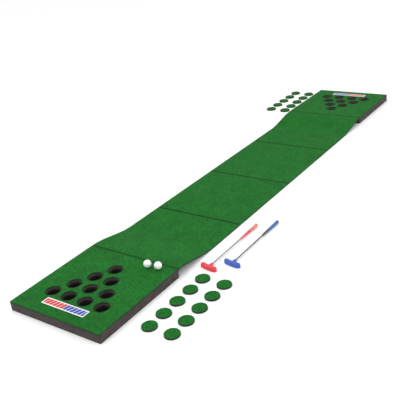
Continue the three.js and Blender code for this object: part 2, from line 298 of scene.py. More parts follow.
def cut_foam(name, low, high, sheets=None):
    """Closed-cell foam: matt, with its cut cells as small pits darkened by painted shade.
    A board's two sheets meet in a line of glue, and its hole walls carry painted light near the
    top and painted shade that deepens towards the bottom."""
    material, tree, shader = new_finish(name, low, 0.92, IOR=1.4)
    place = add(tree, "ShaderNodeTexCoord").outputs["Object"]
    cells = add(tree, "ShaderNodeTexVoronoi", {"Vector": place, "Scale": 1 / CELL_SIZE},
                feature="F1").outputs["Distance"]
    colour = two_colours(tree, object_noise(tree, 30, 3), low, high)
    # Painted shade: each cut cell darkens towards its middle, where its pit is deepest.
    pits = add(tree, "ShaderNodeMapRange", {
        "Value": cells, "From Min": 0.1, "From Max": 0.6, "To Min": 0.72, "To Max": 1.0,
    }).outputs["Result"]
    shaded = times(tree, colour, pits)
    if sheets:
        bottom, top = sheets
        height = add(tree, "ShaderNodeSeparateXYZ", {0: place}).outputs["Z"]
        on_line = maths(tree, "COMPARE", height, (bottom + top) / 2, GLUE_LINE)
        shaded = add(tree, "ShaderNodeMix", {0: on_line, 6: shaded, 7: linear("1f1a1b")},
                     data_type="RGBA").outputs[2]
        # Painted light and shade on the hole walls only: up to 35 % brighter near the top, falling
        # to 30 % of the colour further down.
        hole_wall_light_and_shade = add(tree, "ShaderNodeMapRange", {
            "Value": height, "From Min": top - (top - bottom) * 0.45, "From Max": top - 8 * MM,
            "To Min": 0.3, "To Max": 1.35}).outputs["Result"]
        in_hole = maths(tree, "LESS_THAN", from_hole(tree), HOLE_RADIUS + 1 * MM)
        shaded = times(tree, shaded, maths(tree, "MULTIPLY_ADD", in_hole, maths(
            tree, "SUBTRACT", hole_wall_light_and_shade, 1.0), 1.0))
    tree.links.new(shaded, shader.inputs["Base Color"])
    bumpy(tree, shader, cells, 0.7)
    return material


foam_finish = cut_foam("closed_cell_foam", "3d3635", "4c4342", (core_low.z, core_high.z))
for side in SIDES:
    outline = rounded_outline(core_low, core_high, CORNER_RADIUS)
    holes = [ring(centre, HOLE_RADIUS) for centre in hole_centres()]
    slab = plate(f"{side}_core_slab", [outline, *holes], core_low.z, core_high.z - TAPE_ROOM,
                 CORE_ROUNDING)
    core = new_piece(f"{side}_core_slab", slab, foam_finish)
    core.data.transform(HALF_TURN[side])
    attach(core, f"{side}_board")
    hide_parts(f"{side}_foam_core")

# ---- Turf pile ----------------------------------------------------------------------------
# The turf is short polypropylene pile tufted into a thin woven sheet. The pile stands so
# close that it reads as one soft green mass, with the tips of single blades above it.

PILE_MASS = 4.0 * MM  # height of the matted part
PILE_ROUNDING = 0.7 * MM
BLADE_SPACING = 3.3 * MM
BLADE_LENGTH = 3.4 * MM
BLADE_ROOT = 1.3 * MM  # how deep a blade starts in the matted part
BLADE_RADIUS = 0.95 * MM  # drawn as a tuft of several fibres, so that it shows
BLADE_LEAN = 0.45  # radians either way
SECTION_PITCH = 610 * MM  # from one seam to the next


def pile_tree():
    """Blades as closed three-sided spikes, spread over the upward faces of a slab."""
    tree = bpy.data.node_groups.new("turf_pile", "GeometryNodeTree")
    face = tree.interface
    face.new_socket("Slab", in_out="INPUT", socket_type="NodeSocketGeometry")
    for name, value in (("Spacing", BLADE_SPACING), ("Blade length", BLADE_LENGTH),
                        ("Blade radius", BLADE_RADIUS), ("Root depth", BLADE_ROOT)):
        face.new_socket(name, in_out="INPUT", socket_type="NodeSocketFloat").default_value = value
    face.new_socket("Seed", in_out="INPUT", socket_type="NodeSocketInt")
    face.new_socket("Pile", in_out="INPUT", socket_type="NodeSocketMaterial")
    face.new_socket("Turf", in_out="OUTPUT", socket_type="NodeSocketGeometry")
    given = add(tree, "NodeGroupInput").outputs
    up = add(tree, "ShaderNodeSeparateXYZ", {0: add(tree, "GeometryNodeInputNormal").outputs[0]})
    upward = maths(tree, "GREATER_THAN", up.outputs["Z"], 0.7)
    points = add(tree, "GeometryNodeDistributePointsOnFaces", {
        "Mesh": given["Slab"], "Selection": upward, "Distance Min": given["Spacing"],
        "Density Max": 3e5, "Density Factor": 1.0, "Seed": given["Seed"],
    }, distribute_method="POISSON")
    spike = add(tree, "GeometryNodeMeshCone", {
        "Vertices": 3, "Radius Top": 0.0, "Radius Bottom": given["Blade radius"],
        "Depth": given["Blade length"],
    }, fill_type="NGON")
    height = add(tree, "ShaderNodeSeparateXYZ", {
        0: add(tree, "GeometryNodeInputPosition").outputs[0]})
    tip = maths(tree, "DIVIDE", height.outputs["Z"], given["Blade length"])
    marked = add(tree, "GeometryNodeStoreNamedAttribute", {
        "Geometry": spike.outputs["Mesh"], "Name": "tip", "Value": tip,
    }, data_type="FLOAT", domain="POINT")
    sunk = add(tree, "GeometryNodeTransform", {
        "Geometry": marked.outputs[0],
        "Translation": add(tree, "ShaderNodeCombineXYZ", {
            "Z": maths(tree, "SUBTRACT", 0.0, given["Root depth"])}).outputs[0],
    })
    lean = add(tree, "FunctionNodeRandomValue", {
        0: (-BLADE_LEAN, -BLADE_LEAN, 0.0), 1: (BLADE_LEAN, BLADE_LEAN, 2 * math.pi),
        "Seed": given["Seed"],
    }, data_type="FLOAT_VECTOR")
    turned = add(tree, "FunctionNodeRotateRotation", {
        "Rotation": points.outputs["Rotation"], "Rotate By": lean.outputs[0],
    }, rotation_space="LOCAL")
    size = add(tree, "FunctionNodeRandomValue", {2: 0.7, 3: 1.0, "Seed": given["Seed"]},
               data_type="FLOAT")
    blades = add(tree, "GeometryNodeInstanceOnPoints", {
        "Points": points.outputs["Points"], "Instance": sunk.outputs[0],
        "Rotation": turned.outputs[0], "Scale": size.outputs[1],
    })
    shade = add(tree, "FunctionNodeRandomValue", {2: 0.0, 3: 1.0, "Seed": given["Seed"]},
                data_type="FLOAT")
    toned = add(tree, "GeometryNodeStoreNamedAttribute", {
        "Geometry": blades.outputs[0], "Name": "shade", "Value": shade.outputs[1],
    }, data_type="FLOAT", domain="INSTANCE")
    real = add(tree, "GeometryNodeRealizeInstances", {"Geometry": toned.outputs[0]})
    painted = add(tree, "GeometryNodeSetMaterial", {
        "Geometry": real.outputs[0], "Material": given["Pile"],
    })
    joined = add(tree, "GeometryNodeJoinGeometry")
    tree.links.new(painted.outputs[0], joined.inputs[0])
    tree.links.new(given["Slab"], joined.inputs[0])
    add(tree, "NodeGroupOutput", {0: joined.outputs[0]})
    return tree


def keep_result(obj):
    """Replaces an object's mesh with the result of its modifiers."""
    mesh = result_of(obj)
    obj.modifiers.clear()
    obj.data = mesh
    mesh.name = obj.name


def grow(obj, tree, **values):
    """Runs a geometry tree on an object with the named inputs and keeps the result as its mesh."""
    modifier = obj.modifiers.new(tree.name, "NODES")
    modifier.node_group = tree
    for item in tree.interface.items_tree:
        if item.item_type == "SOCKET" and item.in_out == "INPUT" and item.name in values:
            modifier[item.identifier] = values[item.name]
    keep_result(obj)


MAP_SHEAR = 0.35


def lay_flat(obj, name="OFBake"):
    """A map that looks down on the piece, sheared so that upright faces keep some width."""
    mesh = obj.data
    spots = np.zeros(len(mesh.vertices) * 3, np.float32)
    mesh.vertices.foreach_get("co", spots)
    spots = spots.reshape(-1, 3)
    corner = np.zeros(len(mesh.loops), np.int32)
    mesh.loops.foreach_get("vertex_index", corner)
    flat = spots[:, :2] + MAP_SHEAR * spots[:, 2:]
    low = flat.min(0)
    flat = 0.01 + 0.98 * (flat - low) / (flat.max(0) - low).max()
    layer = mesh.uv_layers.get(name) or mesh.uv_layers.new(name=name)
    layer.uv.foreach_set("vector", flat[corner].ravel())


def turf_pile_finish():
    """Polypropylene pile: matt, with painted shade that darkens it from the blade tips down into
    the matted part, along the seams and round the holes.
    """
    material, tree, shader = new_finish("polypropylene_pile", "28702c", 0.85, IOR=1.49,
                                        Specular_IOR_Level=0.25)
    tip = add(tree, "ShaderNodeAttribute", attribute_name="tip").outputs["Fac"]
    shade = add(tree, "ShaderNodeAttribute", attribute_name="shade").outputs["Fac"]
    # Painted shade deep in the pile: the matted part and the blade roots take darker greens, the
    # blade tips lighter ones.
    body = two_colours(tree, object_noise(tree, 9, 4, 0.7), "084c12", "137421", (0.3, 0.7))
    blade = two_colours(tree, shade, "10721c", "299f35", (0.0, 1.0))
    pile = add(tree, "ShaderNodeMix", {0: tip, 6: body, 7: blade}, data_type="RGBA").outputs[2]
    worn = pile
    for size_mm, least, most in ((14, 0.74, 1.26), (110, 0.88, 1.1)):
        patches = add(tree, "ShaderNodeMapRange", {
            "Value": object_noise(tree, size_mm, 3, 0.6), "From Min": 0.32, "From Max": 0.68,
            "To Min": least, "To Max": most,
        }).outputs["Result"]
        worn = times(tree, worn, patches)
    # Painted shade along every seam: the pile darkens to 0.72 of its colour within 15 mm of it, on
    # the mat only and not on the covers.
    axes = add(tree, "ShaderNodeSeparateXYZ", {
        0: add(tree, "ShaderNodeTexCoord").outputs["Object"]})
    off_mat = maths(tree, "GREATER_THAN", maths(tree, "ABSOLUTE", axes.outputs["Y"]),
                    board_width / 2)
    pressed = add(tree, "ShaderNodeMapRange", {
        "Value": maths(tree, "PINGPONG", axes.outputs["X"], SECTION_PITCH / 2),
        "From Min": 4 * MM, "From Max": 15 * MM, "To Min": 0.72, "To Max": 1.0,
    }, interpolation_type="SMOOTHSTEP")
    # Painted shade round every hole: the pile darkens to 0.22 of its colour next to the hole's
    # edge, fading out 9 mm outside it.
    painted_rim_shade = add(tree, "ShaderNodeMapRange", {
        "Value": from_hole(tree), "From Min": HOLE_RADIUS + 1 * MM,
        "From Max": HOLE_RADIUS + 9 * MM, "To Min": 0.22, "To Max": 1.0,
    }, interpolation_type="SMOOTHSTEP")
    # The painted shade at seams and round holes, together.
    painted_shade_share = maths(tree, "MULTIPLY", painted_rim_shade.outputs[0], maths(
        tree, "MAXIMUM", pressed.outputs[0], off_mat))
    tree.links.new(times(tree, worn, painted_shade_share), shader.inputs["Base Color"])
    bumpy(tree, shader, object_noise(tree, 2.5, 3, 0.6), 0.8)
    return material


def cut_edge_finish():
    """The side of the turf: matt and very dark, partly its own dark green over the woven sheet
    and partly painted shade.
    """
    material, tree, shader = new_finish("cut_turf_edge", "142014", 0.9, IOR=1.49)
    tree.links.new(two_colours(tree, object_noise(tree, 3, 3, 0.6), "0e140d", "1b331f"),
                   shader.inputs["Base Color"])
    bumpy(tree, shader, object_noise(tree, 1.8, 2), 0.5)
    return material


pile = turf_pile_finish()
cut_edge = cut_edge_finish()
pile_nodes = pile_tree()


def turf(name, slab_mesh, seed):
    """Turf piece: a slab of matted pile with blades grown on it."""
    piece = new_piece(name, slab_mesh, pile, cut_edge)
    for face in piece.data.polygons:
        face.material_index = 0 if face.normal.z > 0.5 else 1
    grow(piece, pile_nodes, Seed=seed, Pile=pile, Spacing=BLADE_SPACING)
    piece.data.shade_flat()
    return piece


for number, side in enumerate(SIDES):
    outline = rounded_outline(turf_low, turf_high, CORNER_RADIUS)
    holes = [ring(centre, HOLE_RADIUS) for centre in hole_centres()]
    slab = plate(f"{side}_green", [outline, *holes], turf_low.z, turf_low.z + PILE_MASS,
                 PILE_ROUNDING)
    green = turf(f"{side}_green", slab, 11 + number)
    green.data.transform(HALF_TURN[side])
    lay_flat(green)
    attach(green, f"{side}_board")
    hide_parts(f"{side}_board_turf")

# ---- Thin sections ------------------------------------------------------------------------
# Between the boards run four thin sections of the same turf on a dark foam rubber backing.
# The two beside the boards hang from the board's top edge in a soft curve to the floor.

SLOPE_STEPS = 40
FLAT_STEPS = 4

section_low, section_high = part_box("near_middle_backing")
ramp_low, ramp_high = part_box("near_ramp_backing")
run_low, run_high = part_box("near_run_backing")
backing = section_high.z - section_low.z
drop = ramp_high.z - ramp_low.z - backing
turf_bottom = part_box("near_middle_turf")[0].z
bend_x = (ramp_high.x + run_low.x) / 2  # foot of the hanging part
SEAM_TRIM = 2.4 * MM  # the pile is shorn back beside every seam, which leaves a dark crease


def hang(x):
    """Height of a section's underside along the near half of the mat."""
    share = min(max((x - ramp_low.x) / (ramp_high.x - ramp_low.x), 0), 1)
    return drop * (1 - share * share * (3 - 2 * share))


def strip(name, stations, bottom, top, width, height=hang):
    """A closed strip across the mat through these stations along X, with soft side edges."""
    half = width / 2
    soft = min(0.8 * MM, (top - bottom) / 3)
    section = [(-half, bottom), (half, bottom), (half, top - soft), (half - soft, top),
               (-half + soft, top), (-half, top - soft)]
    verts, faces = [], []
    for x in stations:
        lift = height(x)
        verts += [(x, y, z + lift) for y, z in section]
    count = len(section)
    for i in range(len(stations) - 1):
        for j in range(count):
            a, b = i * count + j, i * count + (j + 1) % count
            faces.append((a, b, b + count, a + count))
    faces.append(tuple(range(count - 1, -1, -1)))
    last = (len(stations) - 1) * count
    faces.append(tuple(range(last, last + count)))
    mesh = bpy.data.meshes.new(name)
    mesh.from_pydata(verts, [], faces)
    tidy_mesh(mesh)
    return mesh


def spaced(start, end, steps):
    """Evenly spaced stations from start to end."""
    return [start + (end - start) * i / steps for i in range(steps + 1)]


def foam_rubber():
    """Black foam rubber: matt, with a skin of faint blotches and a fine grain."""
    material, tree, shader = new_finish("foam_rubber_backing", "221e1f", 0.9, IOR=1.45)
    colour = two_colours(tree, object_noise(tree, 18, 3), "1d191a", "2a2526")
    tree.links.new(colour, shader.inputs["Base Color"])
    bumpy(tree, shader, object_noise(tree, 1.5, 3), 0.3)
    return material


backing_finish = foam_rubber()
slope_stations = spaced(ramp_low.x, ramp_high.x, SLOPE_STEPS) + spaced(
    bend_x + 20 * MM, run_high.x, FLAT_STEPS)
middle_stations = spaced(section_low.x, section_high.x, FLAT_STEPS)


def trimmed(stations):
    """The same stations with both ends drawn back from the seams."""
    return [stations[0] + SEAM_TRIM, *stations[1:-1], stations[-1] - SEAM_TRIM]


for number, side in enumerate(SIDES):
    turn = HALF_TURN[side]
    slope = turf(f"{side}_slope_turf", strip(
        f"{side}_slope_turf", trimmed(slope_stations), turf_bottom, turf_bottom + PILE_MASS,
        board_width), 21 + number)
    under = new_piece(f"{side}_slope_backing", strip(
        f"{side}_slope_backing", slope_stations, 0, backing, board_width), backing_finish)
    for piece, layer in ((slope, "turf"), (under, "backing")):
        piece.data.transform(turn)
        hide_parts(f"{side}_ramp_{layer}", f"{side}_run_{layer}")
        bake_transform(piece)
    lay_flat(slope)

    flat = turf(f"{side}_flat_turf", strip(
        f"{side}_flat_turf", trimmed(middle_stations), turf_bottom, turf_bottom + PILE_MASS,
        board_width), 31 + number)
    flat_under = new_piece(f"{side}_flat_backing", strip(
        f"{side}_flat_backing", middle_stations, 0, backing, board_width), backing_finish)
    for piece, layer in ((flat, "turf"), (flat_under, "backing")):
        piece.data.transform(turn)
        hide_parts(f"{side}_middle_{layer}")
        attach(piece, f"{side}_middle")
    lay_flat(flat)

# ---- Labels -------------------------------------------------------------------------------
# A white vinyl label is heat-pressed on each board outside the first row of holes, printed
# with plain slanted bars, red on one half and blue on the other.

BAR_PITCH = 24 * MM
BAR_SHARE = 0.87  # of the pitch that is printed
BAR_SLANT = 0.35
BAR_MARGIN = 6 * MM


def printed_vinyl(side):
    """Printed vinyl film: flat, even inks under a satin skin, on white."""
    material, tree, shader = new_finish(f"printed_vinyl_{side}", "eeeeee", 0.38, IOR=1.5)
    low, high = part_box(f"{side}_label")
    centre = (low + high) / 2
    turn = 1 if side == "near" else -1
    place = add(tree, "ShaderNodeTexCoord").outputs["Object"]
    local = add(tree, "ShaderNodeVectorMath", {0: place, 1: centre}, operation="SUBTRACT")
    axes = add(tree, "ShaderNodeSeparateXYZ", {0: local.outputs[0]})
    across = maths(tree, "MULTIPLY", axes.outputs["X"], turn)
    along = maths(tree, "MULTIPLY", axes.outputs["Y"], turn)
    slanted = maths(tree, "MULTIPLY_ADD", across, BAR_SLANT, along)
    steps = maths(tree, "FRACT", maths(tree, "DIVIDE", slanted, BAR_PITCH))
    inside = maths(tree, "LESS_THAN", steps, BAR_SHARE)
    size = high - low
    for axis, reach in ((across, size.x / 2 - BAR_MARGIN), (along, size.y / 2 - BAR_MARGIN)):
        within = maths(tree, "LESS_THAN", maths(tree, "ABSOLUTE", axis), reach)
        inside = maths(tree, "MULTIPLY", inside, within)
    first_half = maths(tree, "GREATER_THAN", slanted, 0.0)
    ink = add(tree, "ShaderNodeMix", {0: first_half, 6: linear("1c3f9e"), 7: linear("c8161f")},
              data_type="RGBA")
    face = add(tree, "ShaderNodeMix", {0: inside, 6: linear("eeeeee"), 7: ink.outputs[2]},
               data_type="RGBA")
    tree.links.new(face.outputs[2], shader.inputs["Base Color"])
    bumpy(tree, shader, object_noise(tree, 3, 2), 0.12)
    return material


for side in SIDES:
    dress(frame["nodes"][f"{side}_label"], printed_vinyl(side))

# ---- Hinge tapes --------------------------------------------------------------------------
# A woven polyester tape joins each pair of neighbours. It is glued in shallow rebates on both
# sides of the seam, and shows only when the mat is folded.

TAPE_STEPS = 16
TAPE_REACH = 17 * MM  # on either side of the seam
RIB_PITCH = 7.54 * MM  # coarser than the cloth's own ribs, so that they show
WAVE_LENGTH = math.pi / 10  # of a wave texture at scale 1


def woven_tape():
    """Woven polyester webbing: matt, with ribs across the seam in two dark greens."""
    material, tree, shader = new_finish("woven_polyester_tape", "1f2a20", 0.85, IOR=1.5)
    place = add(tree, "ShaderNodeTexCoord").outputs["Object"]
    ribs = add(tree, "ShaderNodeTexWave", {
        "Vector": place, "Scale": WAVE_LENGTH / RIB_PITCH,
    }, wave_type="BANDS", bands_direction="Y")
    tree.links.new(two_colours(tree, ribs.outputs["Fac"], "18211a", "2b3a2d", (0.2, 0.8)),
                   shader.inputs["Base Color"])
    bumpy(tree, shader, ribs.outputs["Fac"], 0.3)
    return material


tape_finish = woven_tape()
TAPES = (
    ("near_edge_tape", "near_board", "near_ramp"),
    ("near_seam_tape", "near_run", "near_middle"),
    ("centre_tape", "near_middle", "far_middle"),
    ("far_seam_tape", "far_middle", "far_run"),
    ("far_edge_tape", "far_ramp", "far_board"),
)
for node, body_a, body_b in TAPES:
    joint = next(j for j in frame["joints"] if {j["parent"], j["child"]} == {body_a, body_b})
    low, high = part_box(node)
    seam_x = joint["pos_m"][0]
    stations = spaced(seam_x - TAPE_REACH, seam_x + TAPE_REACH, TAPE_STEPS)
    tape = new_piece(f"{node}_cloth", strip(
        f"{node}_cloth", stations, low.z, high.z, high.y - low.y, height=lambda x: 0), tape_finish)
    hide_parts(node)
    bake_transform(tape)

# ---- Hole covers --------------------------------------------------------------------------
# Twenty loose discs close holes that are already played. Each is die-cut foam with a disc of
# the same turf glued on top.

cover_low, cover_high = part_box("near_cover_1")
COVER_RADIUS = (cover_high.x - cover_low.x) / 2
COVER_HEIGHT = cover_high.z - cover_low.z
COVER_TURF = 3.0 * MM
COVER_MAT = 1.2 * MM  # the matted part of that, under the blades
COVERS_PER_SIDE = 10
COVER_SPIN = 47  # degrees from one cover to the next, so that no two look alike
FAR_SPIN = 23


def disc(name, radius, bottom, top, rounding):
    """A round plate about the origin."""
    return plate(name, [ring((0, 0), radius, 48)], bottom, top, rounding)


def cover_mesh():
    """One cover about the origin: foam below, turf above."""
    split = COVER_HEIGHT - COVER_TURF
    foam = new_piece("cover_foam", disc("cover_foam", COVER_RADIUS, 0, split, 0.6 * MM))
    top = turf("cover_turf", disc("cover_turf", COVER_RADIUS - 0.2 * MM, split,
                                  split + COVER_MAT, 0.4 * MM), 41)
    work = bmesh.new()
    work.from_mesh(top.data)
    first = len(work.faces)
    work.from_mesh(foam.data)
    work.faces.ensure_lookup_table()
    for face in work.faces[first:]:
        face.material_index = 2
    mesh = bpy.data.meshes.new("cover")
    for material in (pile, cut_edge, cover_foam):
        mesh.materials.append(material)
    work.to_mesh(mesh)
    work.free()
    for spare in (foam, top):
        bpy.data.objects.remove(spare)
    return mesh


cover_foam = cut_foam("dark_cell_foam", "262a26", "363b35")
whole_cover = cover_mesh()
for side in SIDES:
    for number in range(1, COVERS_PER_SIDE + 1):
        node = f"{side}_cover_{number}"
        low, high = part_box(node)
        angle = COVER_SPIN * number + (FAR_SPIN if side == "far" else 0)
        spin = Matrix.Rotation(math.radians(angle), 4, "Z")
        place = Matrix.Translation(((low.x + high.x) / 2, (low.y + high.y) / 2, low.z))
        cover = new_piece(f"{node}_disc", whole_cover.copy())
        cover.data.transform(place @ spin)
        lay_flat(cover)
        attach(cover, node)
        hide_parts(node)

# ---- Balls --------------------------------------------------------------------------------
# Standard golf balls: a white urethane cover with round dimples in an even spread, under a
# clear gloss coat.

DIMPLES = 336
DIMPLE_RADIUS = 1.75 * MM
DIMPLE_DEPTH = 0.24 * MM


def ball_tree():
    """A fine sphere pressed in around evenly spread dimple centres."""
    tree = bpy.data.node_groups.new("dimpled_ball", "GeometryNodeTree")
    face = tree.interface
    face.new_socket("Start", in_out="INPUT", socket_type="NodeSocketGeometry")
    for name in ("Radius", "Dimple radius", "Dimple depth"):
        face.new_socket(name, in_out="INPUT", socket_type="NodeSocketFloat")
    face.new_socket("Dimples", in_out="INPUT", socket_type="NodeSocketInt")
    face.new_socket("Cover", in_out="INPUT", socket_type="NodeSocketMaterial")
    face.new_socket("Ball", in_out="OUTPUT", socket_type="NodeSocketGeometry")
    given = add(tree, "NodeGroupInput").outputs

    golden = math.pi * (3 - math.sqrt(5))
    index = add(tree, "GeometryNodeInputIndex").outputs[0]
    step = maths(tree, "MULTIPLY_ADD", index, 2.0, 1.0)
    level = maths(tree, "SUBTRACT", 1.0, maths(tree, "DIVIDE", step, given["Dimples"]))
    out = maths(tree, "SQRT", maths(tree, "SUBTRACT", 1.0, maths(tree, "MULTIPLY", level, level)))
    angle = maths(tree, "MULTIPLY", index, golden)
    spot = add(tree, "ShaderNodeCombineXYZ", {
        "X": maths(tree, "MULTIPLY", out, maths(tree, "COSINE", angle)),
        "Y": maths(tree, "MULTIPLY", out, maths(tree, "SINE", angle)), "Z": level,
    })
    on_ball = add(tree, "ShaderNodeVectorMath", {0: spot.outputs[0], "Scale": given["Radius"]},
                  operation="SCALE")
    centres = add(tree, "GeometryNodePoints", {
        "Count": given["Dimples"], "Position": on_ball.outputs[0],
    })
    sphere = add(tree, "GeometryNodeMeshIcoSphere", {"Radius": given["Radius"], "Subdivisions": 7})
    near = add(tree, "GeometryNodeProximity", {"Geometry": centres.outputs[0]},
               target_element="POINTS")
    share = add(tree, "ShaderNodeMapRange", {
        "Value": near.outputs["Distance"], "From Min": 0.0, "From Max": given["Dimple radius"],
        "To Min": 1.0, "To Max": 0.0,
    }, interpolation_type="SMOOTHSTEP")
    depth = maths(tree, "MULTIPLY", share.outputs[0], given["Dimple depth"])
    press = maths(tree, "MULTIPLY", depth, -1.0)
    inward = add(tree, "ShaderNodeVectorMath", {
        0: add(tree, "GeometryNodeInputNormal").outputs[0], "Scale": press}, operation="SCALE")
    dented = add(tree, "GeometryNodeSetPosition", {
        "Geometry": sphere.outputs[0], "Offset": inward.outputs[0]})
    smooth = add(tree, "GeometryNodeSetShadeSmooth", {"Geometry": dented.outputs[0]})
    real = add(tree, "GeometryNodeRealizeInstances", {"Geometry": smooth.outputs[0]})
    painted = add(tree, "GeometryNodeSetMaterial", {
        "Geometry": real.outputs[0], "Material": given["Cover"]})
    add(tree, "NodeGroupOutput", {0: painted.outputs[0]})
    return tree


def urethane_cover():
    """Painted urethane: bright white, glossy under a clear coat, with faint scuffs."""
    material, tree, shader = new_finish("urethane_ball_cover", "f7f7f5", 0.3, IOR=1.5,
                                        Coat_Weight=0.6, Coat_Roughness=0.08)
    shader.inputs["Subsurface Weight"].default_value = 0.05
    scuffs = two_colours(tree, object_noise(tree, 5, 4), "efefec", "fafaf8")
    tree.links.new(scuffs, shader.inputs["Base Color"])
    return material


ball_nodes = ball_tree()
ball_finish = urethane_cover()
for number, tilt in ((1, 35), (2, 110)):
    node = f"ball_{number}"
    low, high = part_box(node)
    ball = new_piece(f"{node}_dimpled", bpy.data.meshes.new(node), ball_finish)
    grow(ball, ball_nodes, Radius=(high.z - low.z) / 2, Dimples=DIMPLES, Cover=ball_finish,
         **{"Dimple radius": DIMPLE_RADIUS, "Dimple depth": DIMPLE_DEPTH})
    ball.data.transform(Matrix.Translation((low + high) / 2) @ Matrix.Rotation(
        math.radians(tilt), 4, (0.4, 1, 0.3)))
    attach(ball, node)
    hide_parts(node)

# ---- Putter heads -------------------------------------------------------------------------
# Each head is moulded in one piece from soft coloured ABS with a rubbery paint: a bowed bar
# that strikes either way, with rounded edges that flow into the neck.

PUTTERS = {
    "red": {"head": "d9303a", "grip": ("d96a70", "c94f5b", "e3827f"), "end": "94706f"},
    "blue": {"head": "2a52ab", "grip": ("403f49", "3a5a93", "3f659f"), "end": "33435a"},
}
HEAD_VOXEL = 0.9 * MM
HEAD_RELAXING = 12  # passes that round the edges and the neck's foot


def soft_touch_abs(colour):
    """ABS under a rubbery paint: satin, rubbed a little glossier in patches."""
    material, tree, shader = new_finish(f"soft_touch_abs_{colour}", PUTTERS[colour]["head"], 0.42,
                                        IOR=1.52)
    bumpy(tree, shader, object_noise(tree, 0.9, 2), 0.05)
    rub = add(tree, "ShaderNodeMapRange", {
        "Value": object_noise(tree, 14, 4), "To Min": 0.36, "To Max": 0.5})
    tree.links.new(rub.outputs["Result"], shader.inputs["Roughness"])
    return material


def merged_copy(node, name):
    """A copy of a CAD node's mesh with its loose triangles joined."""
    mesh = frame["nodes"][node].data.copy()
    tidy_mesh(mesh, merge=1e-5)
    mesh.materials.clear()
    return new_piece(name, mesh)


for colour in PUTTERS:
    node = f"{colour}_putter_head"
    head = merged_copy(node, f"{colour}_moulded_head")
    skin = head.modifiers.new("remesh", "REMESH")
    skin.mode = "VOXEL"
    skin.voxel_size = HEAD_VOXEL
    relax = head.modifiers.new("relax", "SMOOTH")
    relax.factor = 0.5
    relax.iterations = HEAD_RELAXING
    keep_result(head)
    head.data.shade_smooth()
    dress(head, soft_touch_abs(colour))
    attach(head, f"{colour}_putter")
    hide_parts(node)

# ---- Shafts and ferrules ------------------------------------------------------------------
# A stepped steel tube is pressed into the neck, bright chromed on the red putter and painted
# dark grey on the blue one. A moulded grey ferrule hides the joint.


def turned_part(name, outline, centre, segments=40):
    """A closed body of revolution about X through centre, from [x, radius] points."""
    verts, faces = [], []
    count = len(outline)
    for i in range(segments):
        angle = 2 * math.pi * i / segments
        verts += [(x, centre.y + r * math.cos(angle), centre.z + r * math.sin(angle))
                  for x, r in outline]
    for i in range(segments):
        j = (i + 1) % segments
        for k in range(count - 1):
            faces.append((i * count + k, i * count + k + 1, j * count + k + 1, j * count + k))
    mesh = bpy.data.meshes.new(name)
    mesh.from_pydata(verts, [], faces)
    tidy_mesh(mesh, merge=1e-7, smooth_angle=30)
    return new_piece(name, mesh)


def shaft_metal(colour):
    """Chromed steel that mirrors its surroundings, or smooth grey paint; both with rub marks."""
    if colour == "red":
        material, tree, shader = new_finish("chromed_steel", "9b9da2", 0.16, Metallic=1.0)
    else:
        material, tree, shader = new_finish("grey_painted_steel", "4c4f56", 0.32, IOR=1.5,
                                            Coat_Weight=0.5)
    marks = add(tree, "ShaderNodeMapRange", {
        "Value": object_noise(tree, 6, 4), "To Min": 0.12, "To Max": 0.34})
    tree.links.new(marks.outputs["Result"], shader.inputs["Roughness"])
    return material


def moulded_grey():
    """Grey injection-moulded nylon: smooth and half glossy."""
    material, tree, shader = new_finish("moulded_grey_nylon", "625e66", 0.35, IOR=1.53)
    bumpy(tree, shader, object_noise(tree, 1.0, 2), 0.05)
    return material


SHAFT_STEPS = 7
SHAFT_PLAIN = 0.12  # metres of plain tube before the first step
SHAFT_END = 0.16  # the steps share what is left of the length after this
TIP_SHARE = 0.86  # of the full radius
STEP_SLOPE = 0.8 * MM
FERRULE_FIT = 0.35 * MM
GROOVE_PITCH = 1.6 * MM
GROOVES = 3
ferrule_finish = moulded_grey()
for colour in PUTTERS:
    low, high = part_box(f"{colour}_putter_shaft")
    centre = (low + high) / 2
    radius = (high.z - low.z) / 2
    outline = [(low.x, 0), (low.x, radius * TIP_SHARE)]
    for i in range(1, SHAFT_STEPS):
        x = low.x + SHAFT_PLAIN + (high.x - low.x - SHAFT_END) * (i - 1) / SHAFT_STEPS
        before = radius * (TIP_SHARE + (1 - TIP_SHARE) * (i - 1) / (SHAFT_STEPS - 1))
        after = radius * (TIP_SHARE + (1 - TIP_SHARE) * i / (SHAFT_STEPS - 1))
        outline += [(x, before), (x + STEP_SLOPE, after)]
    outline += [(high.x, radius), (high.x, 0)]
    shaft = turned_part(f"{colour}_stepped_shaft", outline, centre)
    dress(shaft, shaft_metal(colour))
    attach(shaft, f"{colour}_putter")
    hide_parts(f"{colour}_putter_shaft")

    low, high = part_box(f"{colour}_putter_ferrule")
    wide = (high.z - low.z) / 2
    bore = radius + FERRULE_FIT
    outline = [(low.x, bore), (low.x, wide - 0.4 * MM), (low.x + 0.4 * MM, wide)]
    for i in range(GROOVES):
        groove = low.x + GROOVE_PITCH * (i + 1)
        slim = wide - 0.25 * i * MM
        outline += [(groove, slim), (groove + 0.25 * MM, slim - 0.3 * MM),
                    (groove + 0.5 * MM, slim - 0.1 * MM)]
    outline += [(high.x - 0.3 * MM, bore + 0.7 * MM), (high.x, bore + 0.3 * MM), (high.x, bore),
                (low.x, bore)]
    ferrule = turned_part(f"{colour}_ferrule_ring", outline, centre)
    dress(ferrule, ferrule_finish)
    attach(ferrule, f"{colour}_putter")
    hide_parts(f"{colour}_putter_ferrule")

# ---- Grips and caps -----------------------------------------------------------------------
# The grip is a tapered sleeve of coloured thermoplastic rubber with moulded rings, slid over
# the shaft. A greyish cap of its own closes its end.

RING_PITCH = 3.6 * MM
RING_DEPTH = 0.55 * MM
GRIP_STATIONS = 420
PLAIN_MIDDLE = 0.035  # shares of the length without rings, to either side of the middle
RINGED_HALF = 0.46  # and how far the rings reach from it
MOUTH_WALL = 1.3 * MM
CAP_ROUNDING = 2.5 * MM
CAP_DIMPLE = 0.8 * MM


